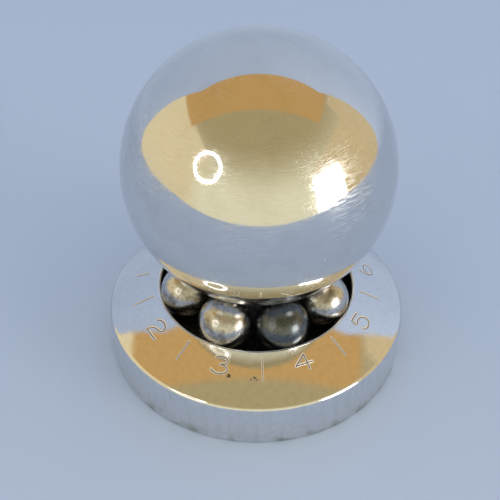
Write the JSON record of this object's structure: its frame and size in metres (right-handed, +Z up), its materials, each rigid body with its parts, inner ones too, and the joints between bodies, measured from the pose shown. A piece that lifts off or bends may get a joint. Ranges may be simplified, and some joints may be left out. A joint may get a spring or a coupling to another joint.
{
  "type": "steel ball paperweight",
  "caption": "Polished steel ball resting on a ring of loose small balls in a turned metal base with a domed numbered dial; lies flat on a desk.",
  "frame": {"origin": "centre of the base's flat underside", "axes": "+Z up along the base's turning axis, through the large ball's centre; -Y is the front, between the dial numbers 3 and 4; +X is to the right"},
  "size_m": [0.06, 0.06, 0.068],
  "materials": {
    "base_chrome": "bright plated, lightly worn",
    "mirror_steel": "mirror polished",
    "bright_steel": "polished, slightly hazy",
    "dark_steel": "blue-grey gunmetal, satin"
  },
  "bodies": {
    "root": {"base": "base_chrome", "large_ball": "mirror_steel", "dark_ball": "dark_steel", "bright_ball_1": "bright_steel", "bright_ball_2": "bright_steel", "bright_ball_3": "bright_steel", "bright_ball_4": "bright_steel", "bright_ball_5": "bright_steel", "bright_ball_6": "bright_steel", "bright_ball_7": "bright_steel"}
  },
  "joints": []
}
